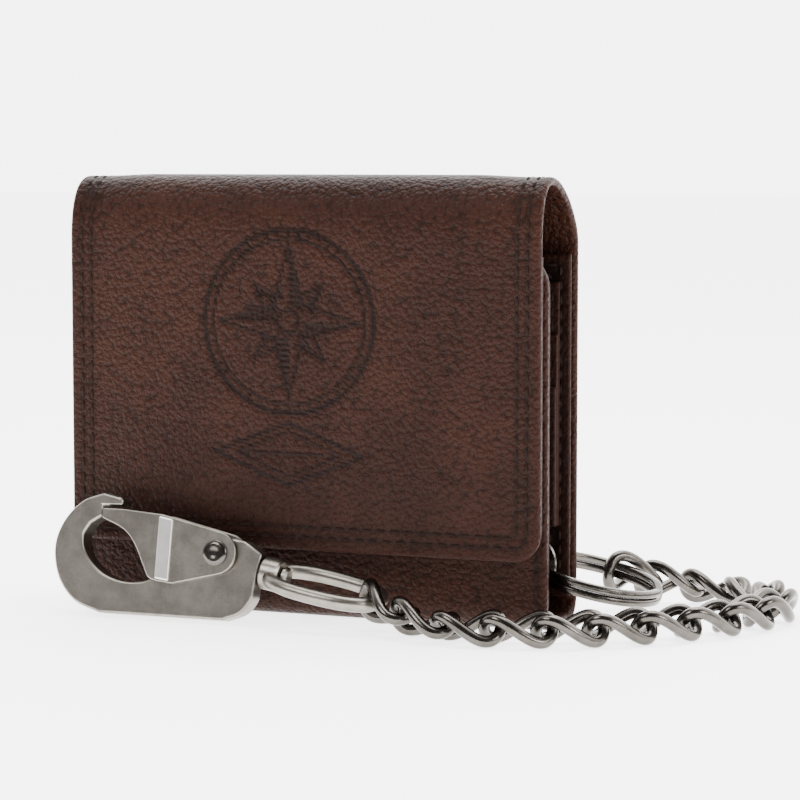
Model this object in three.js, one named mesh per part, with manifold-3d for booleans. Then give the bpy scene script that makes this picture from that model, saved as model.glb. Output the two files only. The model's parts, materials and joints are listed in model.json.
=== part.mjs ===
// A trifold leather wallet that stands on its bottom fold, with a key ring, a curb chain and a swivel snap hook.
// Millimetres. X runs along the folds, -Y is the front, +Z is up, and the origin is the middle of the bottom fold's
// flat underside. Leather panels are named from the outside in.
import * as THREE from 'three';
import { mergeVertices } from 'three/addons/utils/BufferGeometryUtils.js';
import Module from 'manifold-3d';

const wasm = await Module();
wasm.setup();

// ---- driving dimensions -------------------------------------------------------------------------------------------
const GAP = 0.3; // clearance between neighbouring solids
const WELD = 0.02; // points of a closed wire's seam that are nearer than this are one point

const WIDTH = 108; // along the folds
const HEIGHT = 94;
const DEPTH = 25; // front cover's face to back cover's face

const COVER = 1.8; // outer leather
const LINING = 1.1;
const POCKET = 0.8;
const BILL_SPACE = 0.7; // the note compartment, closed flat

const FOLD_RISE = 14; // from where the top fold meets both covers to its crest
const TOP_FOLD_START = HEIGHT - FOLD_RISE;
const FOLD_BACK_PULL = 8; // how squarely the arch leaves the back cover
const FOLD_FRONT_PULL = 24; // and the front cover, which carries the crest
const FOLD_STEPS = 14;

const BOTTOM_BACK_RADIUS = 5;
const BOTTOM_FRONT_RADIUS = 4;
const CORNER_STEPS = 5;

const FLAP_BOTTOM = 15; // the front flap stops short of the bottom
const FLAP_CORNER = 6;
const INNER_DROP = 1; // below the start of the top fold
const INNER_TOP = TOP_FOLD_START - INNER_DROP;
const INNER_CORNER = 8;
const LINING_INSET = 1.5; // linings stop short of the covers' edges
const POCKET_INSET = 2.5;

const WINDOW_BOTTOM = 24;
const WINDOW_DROP = 10; // below the start of the top fold
const WINDOW_TOP = TOP_FOLD_START - WINDOW_DROP;
const WINDOW_INSET = 17; // from the flap's sides
const FRAME_RIM = 5;
const FRAME = 0.6;
const WINDOW = 0.3;

const POCKET_FOOT = 20.5; // all card pockets of the back panel end here
const POCKET_DROPS = [30, 19, 8]; // below the start of the top fold
const POCKET_TOPS = POCKET_DROPS.map((drop) => TOP_FOLD_START - drop);
const INNER_POCKET_FOOT = 12;
const INNER_POCKET_DROP = 19; // below the inner flap's edge
const INNER_POCKET_TOP = INNER_TOP - INNER_POCKET_DROP;

const EYELET_FROM_EDGE = 9.5;
const EYELET_HEIGHT = 12.2;
const EYELET_BORE = 4;
const EYELET_WALL = 0.6;
const EYELET_FLANGE = 2; // how far the flange stands out from the barrel
const FLANGE_THICKNESS = 0.8;

const RING_RADIUS = 13.8; // middle of the wire
const RING_WIRE = 1.7;
const RING_COIL_GAP = 0.1;
const RING_DROOP = 13.7; // degrees below level
const RING_OVERLAP = 40; // degrees in which the wire crosses from one coil to the other

const WIRE = 2.6; // chain wire
const LINK_OPENING = 6; // what is left inside a link beside both neighbours
const LINK_SIDE_PLAY = 1.2;
const LINK_PLAY = 0.8; // how much longer a link is inside than the pitch
const LINK_HALF_LENGTH = (3 * WIRE + LINK_OPENING) / 2; // centre line
const LINK_HALF_WIDTH = WIRE + LINK_SIDE_PLAY;
const LINK_TWIST = WIRE - GAP;
const PITCH = 2 * LINK_HALF_LENGTH - WIRE - LINK_PLAY;
// Each link's heading in degrees from +X, from the ring to the clasp.
const HEADINGS = [64, 34, 2, -32, -66, -96, -114, -124, -132, -140, -150, -163, -178, 168, 154];
// How far each link is rolled about its length, in the same order. The end links are turned to lie across what they hold.
const ROLLS = [-36, -28, -14, 0, 0, 0, 0, 0, 0, 0, 0, 0, 0, 22, 40];
const RING_HOLD = 88; // degrees round the ring where the last link holds it
const HOLD_REACH = WIRE / 2 + GAP; // from the middle of that wire to the first joint, towards the ring's centre
const CLASP_CLEARANCE = 7; // from the front cover to the swivel's axis

const HOOK = 4.8; // thickness of the cast body
const HOOK_BEVEL = 0.5;
const HOOK_FOOT = -14; // the rivet is the hook's origin
const PIN_START = 9.4;
const PIN_LEVEL = -3.2;
const SWIVEL_SLOPE = 10; // degrees down from the hook to the loop
const CLASP_LEAN = 12; // degrees, top towards the wallet
const LEVER_SHEET = 1.1;
const RIVET = 1.5;
const RIVET_HEAD = 2.7;
const HEAD_THICKNESS = 0.6;
const LEVER_BRIDGE_END = -20.5; // left of this the lever's two cheeks are joined
const PIN = 1.5;
const PIN_DEPTH = 5;
const PIN_HEAD = 2.2;
const LOOP_LENGTH = 27; // from the pin's start to the far strand
const LOOP_HALF_WIDTH = 6.6;
const LOOP_WIRE = 3.4;
const LOOP_PLAY = 0.4;
const LOOP_REACH = LOOP_WIRE / 2 + LOOP_PLAY; // from the last joint to the middle of the loop's far strand
const LOOP_BOSS = 3.5; // radius
const LOOP_BOSS_LENGTH = 4.4;
const LOOP_ROLL = 8; // degrees, near strand lower
const SPRING_WIRE = 0.6;
const SPRING_RADIUS = 2.5;
const SPRING_TURNS = 2;
const SPRING_POCKET = 2.8; // depth

// ---- places that follow from them ---------------------------------------------------------------------------------
const FRONT = -DEPTH / 2;
const BACK = DEPTH / 2;
const FRONT_LINING = FRONT + COVER + GAP;
const FRAME_FACE = FRONT_LINING + LINING + GAP;
const INNER_FACE = FRAME_FACE + FRAME + 0.4;
const INNER_LINING = INNER_FACE + COVER + GAP;
const INNER_POCKET = INNER_LINING + LINING + GAP;
const BILL_DIVIDER = BACK - COVER - BILL_SPACE - POCKET;
const BACK_LINING = BILL_DIVIDER - GAP - LINING;

const EYELET_X = WIDTH / 2 - EYELET_FROM_EDGE;
const EYELET_OUTER = EYELET_BORE + EYELET_WALL;
const EYELET_HOLE = EYELET_OUTER + GAP;

const RING_AXIS_RISE = RING_WIRE + RING_COIL_GAP;
const LINK_LEVEL = LINK_TWIST + WIRE / 2;
const HALF_CLASP = HOOK / 2 + GAP + LEVER_SHEET;

const leather = new THREE.MeshStandardMaterial({ color: 0x3a2218, roughness: 0.55, metalness: 0 });
const liningLeather = new THREE.MeshStandardMaterial({ color: 0x2c1a13, roughness: 0.65, metalness: 0 });
const clearPlastic = new THREE.MeshStandardMaterial({ color: 0xd8dcd8, roughness: 0.2, metalness: 0 });
const darkSteel = new THREE.MeshStandardMaterial({ color: 0x55534f, roughness: 0.3, metalness: 1 });
const antiqueNickel = new THREE.MeshStandardMaterial({ color: 0x8d8780, roughness: 0.38, metalness: 1 });

// ---- helpers ------------------------------------------------------------------------------------------------------
const rad = THREE.MathUtils.degToRad;
const v2 = (x, y) => new THREE.Vector2(x, y);
const v3 = (x, y, z) => new THREE.Vector3(x, y, z);

function positionsOnly(geometry) {
  const plain = geometry.clone();
  plain.deleteAttribute('normal');
  plain.deleteAttribute('uv');
  return mergeVertices(plain, 1e-4);
}

function solid(geometry) {
  const merged = positionsOnly(geometry);
  return new wasm.Manifold(new wasm.Mesh({
    numProp: 3,
    vertProperties: new Float32Array(merged.attributes.position.array),
    triVerts: new Uint32Array(merged.index.array),
  }));
}

function geometryOf(manifold) {
  const mesh = manifold.getMesh();
  const geometry = new THREE.BufferGeometry();
  geometry.setAttribute('position', new THREE.BufferAttribute(new Float32Array(mesh.vertProperties), 3));
  geometry.setIndex(new THREE.BufferAttribute(new Uint32Array(mesh.triVerts), 1));
  return geometry;
}

function named(name, geometry, material) {
  const mesh = new THREE.Mesh(geometry, material);
  mesh.name = name;
  return mesh;
}

// An outline in X and Z, thickened backwards from the face at y.
function plate(shape, y, thickness, curveSegments = 5) {
  const geometry = new THREE.ExtrudeGeometry(shape, { depth: thickness, bevelEnabled: false, curveSegments });
  const basis = new THREE.Matrix4().makeBasis(v3(1, 0, 0), v3(0, 0, 1), v3(0, -1, 0));
  return geometry.applyMatrix4(basis).translate(0, y + thickness, 0);
}

// A profile in Y and Z, swept along X over the given width.
function runAlongX(points, width) {
  const geometry = new THREE.ExtrudeGeometry(new THREE.Shape(points), { depth: width, bevelEnabled: false });
  const basis = new THREE.Matrix4().makeBasis(v3(0, 1, 0), v3(0, 0, 1), v3(1, 0, 0));
  return geometry.applyMatrix4(basis).translate(-width / 2, 0, 0);
}

// A cylinder along Y from y0 to y1.
function drum(radius, y0, y1, x, z, sides = 28) {
  return new THREE.CylinderGeometry(radius, radius, y1 - y0, sides).translate(x, (y0 + y1) / 2, z);
}

// A rectangle with its lower and upper corners rounded by the given radii.
function roundedRectangle(x0, z0, x1, z1, lower, upper) {
  const shape = new THREE.Shape();
  shape.moveTo(x0 + lower, z0);
  shape.lineTo(x1 - lower, z0);
  if (lower > 0) shape.absarc(x1 - lower, z0 + lower, lower, -Math.PI / 2, 0, false);
  shape.lineTo(x1, z1 - upper);
  if (upper > 0) shape.absarc(x1 - upper, z1 - upper, upper, 0, Math.PI / 2, false);
  shape.lineTo(x0 + upper, z1);
  if (upper > 0) shape.absarc(x0 + upper, z1 - upper, upper, Math.PI / 2, Math.PI, false);
  shape.lineTo(x0, z0 + lower);
  if (lower > 0) shape.absarc(x0 + lower, z0 + lower, lower, Math.PI, 1.5 * Math.PI, false);
  return shape;
}

// The points of a strip of leather: the outer line, then the line one thickness inside it. Inside is to the left.
// Both ends are cut level, to meet the upright panels.
function strip(outer, thickness) {
  const last = outer.length - 1;
  const inner = outer.map((point, i) => {
    const along = outer[Math.min(i + 1, last)].clone().sub(outer[Math.max(i - 1, 0)]);
    if (i === 0 || i === last) along.x = 0;
    along.normalize();
    return v2(point.x - along.y * thickness, point.y + along.x * thickness);
  });
  return [...outer, ...inner.reverse()];
}

function arc(cx, cy, radius, from, to, steps) {
  return Array.from({ length: steps + 1 }, (_, i) => {
    const angle = rad(from + ((to - from) * i) / steps);
    return v2(cx + radius * Math.cos(angle), cy + radius * Math.sin(angle));
  });
}

function polygon(radius, sides) {
  return new THREE.Shape(arc(0, 0, radius, 0, 360 - 360 / sides, sides - 1));
}

// A round wire along a path. On a closed path the two end faces meet, so they are welded and taken out.
function wire(path, radius, sides, steps) {
  const tube = new THREE.ExtrudeGeometry(polygon(radius, sides), { extrudePath: path, steps });
  if (!path.closed) return tube;
  const merged = positionsOnly(tube);
  const position = merged.attributes.position;
  const points = Array.from({ length: position.count }, (_, i) => v3(0, 0, 0).fromBufferAttribute(position, i));
  const first = points.map((point) => points.findIndex((other) => other.distanceTo(point) < WELD));
  const triangles = [];
  for (let i = 0; i < merged.index.count; i += 3) {
    triangles.push([0, 1, 2].map((corner) => first[merged.index.getX(i + corner)]));
  }
  const key = (triangle) => [...triangle].sort((a, b) => a - b).join();
  const seen = new Map();
  for (const triangle of triangles) seen.set(key(triangle), (seen.get(key(triangle)) ?? 0) + 1);
  merged.setIndex(triangles.filter((triangle) => seen.get(key(triangle)) === 1).flat());
  return merged;
}

// ---- wallet -------------------------------------------------------------------------------------------------------
function eyeletHole(y0, y1) {
  return solid(drum(EYELET_HOLE, y0 - 1, y1 + 1, EYELET_X, EYELET_HEIGHT));
}

function backSheet(name, y, thickness, x, z0, z1, material) {
  const sheet = solid(plate(roundedRectangle(-x, z0, x, z1, 0, 0), y, thickness));
  return named(name, geometryOf(sheet.subtract(eyeletHole(y, y + thickness))), material);
}

function backPanel() {
  const parts = [];
  const foot = BOTTOM_BACK_RADIUS + GAP;
  const top = TOP_FOLD_START - GAP;
  parts.push(backSheet('back_cover', BACK - COVER, COVER, WIDTH / 2, foot, top, leather));
  parts.push(backSheet('bill_divider', BILL_DIVIDER, POCKET, WIDTH / 2 - LINING_INSET, foot, top - 2, liningLeather));
  parts.push(backSheet('back_lining', BACK_LINING, LINING, WIDTH / 2 - LINING_INSET, foot, top - 2, liningLeather));
  POCKET_TOPS.forEach((pocketTop, i) => {
    const face = BACK_LINING - (POCKET_TOPS.length - i) * (GAP + POCKET);
    const x = WIDTH / 2 - POCKET_INSET;
    const shape = roundedRectangle(-x, POCKET_FOOT, x, pocketTop, 0, 0);
    parts.push(named(`card_pocket_${i + 1}`, plate(shape, face, POCKET), liningLeather));
  });
  return parts;
}

function eyelet() {
  const barrelFront = BACK_LINING - 2 * GAP - FLANGE_THICKNESS;
  const flangeFace = BACK + GAP;
  const flangeRadius = EYELET_OUTER + EYELET_FLANGE;
  const barrel = solid(drum(EYELET_OUTER, barrelFront, flangeFace + FLANGE_THICKNESS, EYELET_X, EYELET_HEIGHT))
    .add(solid(drum(flangeRadius, flangeFace, flangeFace + FLANGE_THICKNESS, EYELET_X, EYELET_HEIGHT)))
    .subtract(solid(drum(EYELET_BORE, barrelFront - 1, flangeFace + 2, EYELET_X, EYELET_HEIGHT)));
  const washerBack = BACK_LINING - GAP;
  const washerFront = washerBack - FLANGE_THICKNESS;
  const washer = solid(drum(flangeRadius, washerFront, washerBack, EYELET_X, EYELET_HEIGHT))
    .subtract(eyeletHole(washerFront, washerBack));
  return [
    named('eyelet', geometryOf(barrel), darkSteel),
    named('eyelet_washer', geometryOf(washer), darkSteel),
  ];
}

// The arch from the back cover over to the front flap, its crest near the front.
function topFold() {
  const at = (pull) => new THREE.CubicBezierCurve(v2(BACK, 0), v2(BACK, FOLD_BACK_PULL * pull),
    v2(FRONT, FOLD_FRONT_PULL * pull), v2(FRONT, 0)).getPoints(FOLD_STEPS);
  const crest = Math.max(...at(1).map((point) => point.y));
  const outer = at((HEIGHT - TOP_FOLD_START) / crest).map((point) => v2(point.x, point.y + TOP_FOLD_START));
  return named('top_fold', runAlongX(strip(outer, COVER), WIDTH), leather);
}

// The U under the wallet. Its flat underside is what the wallet stands on.
function bottomFold() {
  const front = arc(INNER_FACE + BOTTOM_FRONT_RADIUS, BOTTOM_FRONT_RADIUS, BOTTOM_FRONT_RADIUS, 180, 270, CORNER_STEPS);
  const back = arc(BACK - BOTTOM_BACK_RADIUS, BOTTOM_BACK_RADIUS, BOTTOM_BACK_RADIUS, 270, 360, CORNER_STEPS);
  return named('bottom_fold', runAlongX(strip([...front, ...back], COVER), WIDTH), leather);
}

function frontFlap() {
  const top = TOP_FOLD_START - GAP;
  const x = WIDTH / 2;
  const liningX = x - LINING_INSET;
  const frameX = x - WINDOW_INSET;
  const cover = roundedRectangle(-x, FLAP_BOTTOM, x, top, FLAP_CORNER, 0);
  const lining = roundedRectangle(-liningX, FLAP_BOTTOM + LINING_INSET, liningX, top - 2, FLAP_CORNER, 0);
  const frame = roundedRectangle(-frameX, WINDOW_BOTTOM, frameX, WINDOW_TOP, 3, 3);
  const openX = frameX - FRAME_RIM;
  frame.holes.push(roundedRectangle(-openX, WINDOW_BOTTOM + FRAME_RIM, openX, WINDOW_TOP - FRAME_RIM, 3, 3));
  const paneX = openX - GAP;
  const pane = roundedRectangle(-paneX, WINDOW_BOTTOM + FRAME_RIM + GAP, paneX, WINDOW_TOP - FRAME_RIM - GAP, 3, 3);
  return [
    named('front_flap_cover', plate(cover, FRONT, COVER), leather),
    named('front_flap_lining', plate(lining, FRONT_LINING, LINING), liningLeather),
    named('id_window_frame', plate(frame, FRAME_FACE, FRAME), liningLeather),
    named('id_window', plate(pane, FRAME_FACE, WINDOW), clearPlastic),
  ];
}

function innerFlap() {
  const foot = BOTTOM_FRONT_RADIUS + GAP;
  const x = WIDTH / 2;
  const liningX = x - LINING_INSET;
  const pocketX = x - POCKET_INSET;
  const cover = roundedRectangle(-x, foot, x, INNER_TOP, 0, INNER_CORNER);
  const lining = roundedRectangle(-liningX, foot, liningX, INNER_TOP - LINING_INSET, 0, INNER_CORNER);
  const pocket = roundedRectangle(-pocketX, INNER_POCKET_FOOT, pocketX, INNER_POCKET_TOP, 0, 0);
  return [
    named('inner_flap_cover', plate(cover, INNER_FACE, COVER), leather),
    named('inner_flap_lining', plate(lining, INNER_LINING, LINING), liningLeather),
    named('inner_flap_pocket', plate(pocket, INNER_POCKET, POCKET), liningLeather),
  ];
}

// ---- split ring ---------------------------------------------------------------------------------------------------
const ringAcross = v3(Math.cos(rad(RING_DROOP)), 0, -Math.sin(rad(RING_DROOP)));
const ringAxis = v3(Math.sin(rad(RING_DROOP)), 0, Math.cos(rad(RING_DROOP)));
const ringCentre = v3(EYELET_X, BACK, EYELET_HEIGHT).addScaledVector(ringAcross, RING_RADIUS);

function ringPoint(degrees, rise = 0, radius = RING_RADIUS) {
  return ringCentre.clone()
    .addScaledVector(ringAcross, radius * Math.cos(rad(degrees)))
    .addScaledVector(v3(0, 1, 0), radius * Math.sin(rad(degrees)))
    .addScaledVector(ringAxis, rise);
}

class SplitRingCurve extends THREE.Curve {
  getPoint(t) {
    const degrees = RING_OVERLAP + t * (720 - RING_OVERLAP);
    const crossing = THREE.MathUtils.smoothstep(degrees, 360, 360 + RING_OVERLAP);
    return ringPoint(degrees, RING_AXIS_RISE * (crossing - 0.5));
  }
}

function splitRing() {
  return named('split_ring', wire(new SplitRingCurve(), RING_WIRE / 2 * 1.04, 8, 84), darkSteel);
}

// ---- chain --------------------------------------------------------------------------------------------------------
function linkGeometry() {
  const points = Array.from({ length: 24 }, (_, i) => {
    const t = (i * Math.PI) / 12;
    return v3(LINK_HALF_LENGTH * Math.cos(t), LINK_HALF_WIDTH * Math.sin(t), LINK_TWIST * Math.sin(2 * t));
  });
  return wire(new THREE.CatmullRomCurve3(points, true), WIRE / 2, 8, 24);
}

const hookAxisHeight = (PIN_LEVEL - HOOK_FOOT) * Math.cos(rad(CLASP_LEAN))
  + (HOOK / 2) * Math.sin(rad(CLASP_LEAN)) + 0.1;
const claspReach = LOOP_LENGTH - LOOP_REACH;
const claspEndHeight = hookAxisHeight - claspReach * Math.sin(rad(SWIVEL_SLOPE));

// Where each link meets the next, from the ring to the clasp. The links lie flat, except those that rise to the ring
// and to the clasp, and the whole run is turned so that it ends in front of the wallet.
function chainJoints() {
  const start = ringPoint(RING_HOLD, 0, RING_RADIUS - HOLD_REACH);
  const last = HEADINGS.length - 1;
  const climb = HEADINGS.map(() => 0);
  const fall = start.z - LINK_LEVEL;
  climb[0] = -0.53 * fall;
  climb[1] = -0.33 * fall;
  climb[2] = -0.14 * fall;
  const rise = claspEndHeight - LINK_LEVEL;
  climb[last] = 0.65 * rise;
  climb[last - 1] = 0.35 * rise;
  const steps = HEADINGS.map((heading, i) => {
    const level = Math.sqrt(PITCH * PITCH - climb[i] * climb[i]);
    return v3(level * Math.cos(rad(heading)), level * Math.sin(rad(heading)), climb[i]);
  });
  const span = steps.reduce((sum, step) => sum.add(step), v3(0, 0, 0));
  const wanted = FRONT - CLASP_CLEARANCE - start.y;
  const reach = Math.hypot(span.x, span.y);
  const turn = -Math.PI - Math.asin(wanted / reach) - Math.atan2(span.y, span.x);
  const joints = [start];
  for (const step of steps) {
    step.applyAxisAngle(v3(0, 0, 1), turn);
    joints.push(joints.at(-1).clone().add(step));
  }
  return joints;
}

const joints = chainJoints();

function chain() {
  const geometry = linkGeometry();
  const count = joints.length - 1;
  return Array.from({ length: count }, (_, i) => {
    const along = joints[i + 1].clone().sub(joints[i]).normalize();
    const side = v3(0, 0, 1).cross(along).normalize();
    const up = along.clone().cross(side);
    const link = named(`link_${String(count - i).padStart(2, '0')}`, geometry, darkSteel);
    link.position.addVectors(joints[i], joints[i + 1]).multiplyScalar(0.5);
    link.quaternion.setFromRotationMatrix(new THREE.Matrix4().makeBasis(along, side, up));
    link.rotateX(rad(ROLLS[i]));
    return link;
  });
}

// ---- clasp --------------------------------------------------------------------------------------------------------
// The clasp's own frame: X from the hook's tip to the swivel, Z up, -Y the visible face, origin at the lever's rivet.
const hookOuter = [[-27.6, 11.7], [-32.6, 9.6], [-36.6, 5.2], [-38.3, -0.5], [-36.8, -7], [-32.6, -11.8],
  [-26.5, HOOK_FOOT]];
const hookRight = [[2, HOOK_FOOT], [6, -12.4], [8.3, -9.5], [PIN_START - 0.7, -7]];
const hookInner = [[-9, 0.8], [-11, -3.2], [-15.5, -6.3], [-21, -7], [-26.5, -5.4], [-30.6, -1.6], [-31.6, 2.2],
  [-30.2, 5]];

const spline = (points) => new THREE.SplineCurve(points.map(([x, y]) => v2(x, y))).getPoints(points.length * 2);

function hookShape() {
  return new THREE.Shape([
    v2(-23, 9), v2(-23, 10.7), ...spline(hookOuter), ...spline(hookRight),
    v2(PIN_START + 0.6, 0.4), v2(6, 3), v2(1, 3.6), v2(-6, 3.2), ...spline(hookInner), v2(-27.6, 6.6),
    v2(-27.6, 8.9),
  ].reverse());
}

function hookBody() {
  const shape = hookShape();
  const geometry = new THREE.ExtrudeGeometry(shape, {
    depth: HOOK - 2 * HOOK_BEVEL, bevelThickness: HOOK_BEVEL, bevelSize: HOOK_BEVEL, bevelOffset: -HOOK_BEVEL,
    bevelSegments: 1, curveSegments: 4,
  });
  const basis = new THREE.Matrix4().makeBasis(v3(1, 0, 0), v3(0, 0, 1), v3(0, -1, 0));
  geometry.applyMatrix4(basis).translate(0, HOOK / 2 - HOOK_BEVEL, 0);
  const boreDepth = PIN_DEPTH + GAP;
  const bore = new THREE.CylinderGeometry(PIN + GAP, PIN + GAP, boreDepth + 1, 16).rotateZ(Math.PI / 2)
    .translate((1 - boreDepth) / 2, 0, 0).rotateY(rad(SWIVEL_SLOPE)).translate(PIN_START, 0, PIN_LEVEL);
  const pocketFloor = SPRING_POCKET - HOOK / 2;
  const body = solid(geometry)
    .subtract(solid(drum(RIVET + GAP, -HOOK, HOOK, 0, 0, 20)))
    .subtract(solid(drum(SPRING_RADIUS + SPRING_WIRE / 2 + 2 * GAP, -HOOK, pocketFloor, 0, 0, 24)))
    .subtract(solid(bore));
  return named('hook_body', geometryOf(body), antiqueNickel);
}

const leverOutline = [[-26.9, 8.3], [-22, 8.3], [-12.9, 7.6], [0.9, 4.5]];
const leverFront = [[-9.5, -7], [-14.6, -6.2], [-16.4, -3.6], [-18.6, 0.6], [-21.6, 3.9], [-26.9, 6.2]];

function lever() {
  const shape = new THREE.Shape([
    ...leverOutline.map(([x, y]) => v2(x, y)), ...arc(0, 0, 4.6, 75, -75, 6), ...leverFront.map(([x, y]) => v2(x, y)),
  ].reverse());
  const slot = new THREE.BoxGeometry(60, HOOK + 2 * GAP, 40).translate(LEVER_BRIDGE_END + 30, 0, 0);
  const sheet = solid(plate(shape, -HALF_CLASP, 2 * HALF_CLASP))
    .subtract(solid(slot))
    .subtract(solid(drum(RIVET + GAP, -10, 10, 0, 0, 20)));
  return named('lever', geometryOf(sheet), antiqueNickel);
}

function leverRivet() {
  const under = HALF_CLASP + GAP;
  const end = under + HEAD_THICKNESS;
  const profile = [v2(0, -end), v2(RIVET_HEAD, -end), v2(RIVET_HEAD, -under), v2(RIVET, -under), v2(RIVET, under),
    v2(RIVET_HEAD, under), v2(RIVET_HEAD, end), v2(0, end)];
  return named('lever_rivet', new THREE.LatheGeometry(profile, 20), darkSteel);
}

class SpringCurve extends THREE.Curve {
  getPoint(t) {
    const angle = t * SPRING_TURNS * 2 * Math.PI;
    const rise = (t - 0.5) * SPRING_TURNS * (SPRING_WIRE + 0.2);
    return v3(SPRING_RADIUS * Math.cos(angle), rise, SPRING_RADIUS * Math.sin(angle));
  }
}

function leverSpring() {
  const middle = -HOOK / 2 + SPRING_POCKET / 2;
  return named('lever_spring', wire(new SpringCurve(), SPRING_WIRE / 2, 6, 32).translate(0, middle, 0), darkSteel);
}

// The swivel's own frame: X along its axis from the hook's end, Z up.
function swivelPin() {
  const inside = LOOP_BOSS_LENGTH + 2 * GAP;
  const profile = [v2(0, -PIN_DEPTH), v2(PIN, -PIN_DEPTH), v2(PIN, inside), v2(PIN_HEAD, inside),
    v2(PIN_HEAD, inside + 0.8), v2(PIN_HEAD - 0.8, inside + 1.4), v2(0, inside + 1.4)];
  return named('swivel_pin', new THREE.LatheGeometry(profile, 20).rotateZ(-Math.PI / 2), antiqueNickel);
}

function swivelLoop() {
  const near = LOOP_BOSS_LENGTH / 2 + GAP;
  const far = LOOP_LENGTH;
  const middle = (near + far) / 2;
  const half = (far - near) / 2;
  const points = Array.from({ length: 16 }, (_, i) => {
    const t = (i * Math.PI) / 8;
    const x = middle + half * Math.sign(Math.cos(t)) * Math.abs(Math.cos(t)) ** 0.85;
    const y = LOOP_HALF_WIDTH * Math.sign(Math.sin(t)) * Math.abs(Math.sin(t)) ** 0.8;
    return v3(x, y, 0);
  });
  const boss = new THREE.CylinderGeometry(LOOP_BOSS, LOOP_BOSS, LOOP_BOSS_LENGTH, 24).rotateZ(Math.PI / 2)
    .translate(near, 0, 0);
  const bore = new THREE.CylinderGeometry(PIN + GAP, PIN + GAP, 12, 16).rotateZ(Math.PI / 2).translate(near, 0, 0);
  const loop = solid(wire(new THREE.CatmullRomCurve3(points, true), LOOP_WIRE / 2, 10, 40))
    .add(solid(boss))
    .subtract(solid(bore));
  return named('swivel_loop', geometryOf(loop), antiqueNickel);
}

function clasp() {
  const end = joints.at(-1);
  const slope = rad(SWIVEL_SLOPE);
  const swivel = new THREE.Group();
  swivel.position.set(end.x - claspReach * Math.cos(slope), end.y, end.z + claspReach * Math.sin(slope));
  swivel.rotation.y = slope;
  const loop = swivelLoop();
  loop.rotation.x = rad(LOOP_ROLL);
  const leaning = new THREE.Group();
  leaning.rotation.x = rad(-CLASP_LEAN);
  const level = new THREE.Group();
  level.rotation.y = -slope;
  const hook = new THREE.Group();
  hook.position.set(-PIN_START, 0, -PIN_LEVEL);
  hook.add(hookBody(), lever(), leverRivet(), leverSpring());
  level.add(hook);
  leaning.add(level);
  swivel.add(loop, swivelPin(), leaning);
  return swivel;
}

const wallet = new THREE.Group();
wallet.add(...backPanel(), ...eyelet(), topFold(), bottomFold(), ...frontFlap(), ...innerFlap());
wallet.add(splitRing(), ...chain(), clasp());

export default wallet;
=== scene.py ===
import json
import math

import bmesh
import bpy
import numpy as np
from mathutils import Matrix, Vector


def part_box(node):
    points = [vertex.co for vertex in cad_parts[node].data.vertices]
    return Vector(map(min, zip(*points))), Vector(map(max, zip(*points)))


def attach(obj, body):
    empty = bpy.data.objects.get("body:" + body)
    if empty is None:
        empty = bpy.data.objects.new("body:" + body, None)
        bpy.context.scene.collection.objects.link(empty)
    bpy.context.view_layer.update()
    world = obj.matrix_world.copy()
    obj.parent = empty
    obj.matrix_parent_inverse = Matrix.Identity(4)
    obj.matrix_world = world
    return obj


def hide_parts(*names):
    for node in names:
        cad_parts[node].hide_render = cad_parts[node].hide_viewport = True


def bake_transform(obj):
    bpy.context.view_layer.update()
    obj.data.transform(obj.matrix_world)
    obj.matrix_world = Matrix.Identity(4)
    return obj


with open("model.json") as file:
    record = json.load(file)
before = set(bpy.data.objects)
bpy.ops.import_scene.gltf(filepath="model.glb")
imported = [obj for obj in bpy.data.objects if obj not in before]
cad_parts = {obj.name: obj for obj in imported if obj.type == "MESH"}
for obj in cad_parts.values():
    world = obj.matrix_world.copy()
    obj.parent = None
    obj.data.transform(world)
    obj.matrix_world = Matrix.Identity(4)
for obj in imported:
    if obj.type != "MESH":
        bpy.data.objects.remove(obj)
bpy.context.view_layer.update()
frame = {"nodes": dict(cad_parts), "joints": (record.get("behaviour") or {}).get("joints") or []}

MM = 0.001
nodes = frame["nodes"]
joints = {joint["name"]: joint for joint in frame["joints"]}

# ---- sizes that the looks need, in millimetres ---------------------------------------------------
SHEET_STEP = 0.6  # grid of the visible leather
COVER_STEP = 1.2
PLAIN_STEP = 2.0
RIM_STEPS = 4
STITCH_PITCH = 3.1
STITCH_LENGTH = 2.4
STITCH_RADIUS = 0.27
OUTER_ROW = 2.9  # from the leather's edge
INNER_ROW = 5.1
ROW_STEP = 0.2
GROOVE_DEPTH = 0.2
CROWN = 0.4  # how far the flap's middle stands proud

FOLD_BACK_PULL = 8  # the same arch as the top fold's solid
FOLD_FRONT_PULL = 24
BACK_RADIUS = 5
FRONT_RADIUS = 4

RING_RADIUS = 13.8
RING_DROOP = 13.7
RING_OVERLAP = 40
RING_RISE = 1.8
RING_HALF_WIRE = 0.86
RING_SQUARENESS = 0.7  # 1 is a round wire
LINK_HALF_LENGTH, LINK_HALF_WIDTH, LINK_TWIST, WIRE = 6.9, 3.8, 2.3, 2.6
SLIM = 0.95  # a round wire inside the space of the solid's eight-sided one

HOOK = 4.8
SWIVEL_SLOPE = 10
LOOP_ROLL = 8
LOOP_WIRE = 3.4
PIN_START = 9.4


def box_mm(name):
    low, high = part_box(name)
    return np.array(low) * 1000, np.array(high) * 1000


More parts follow.
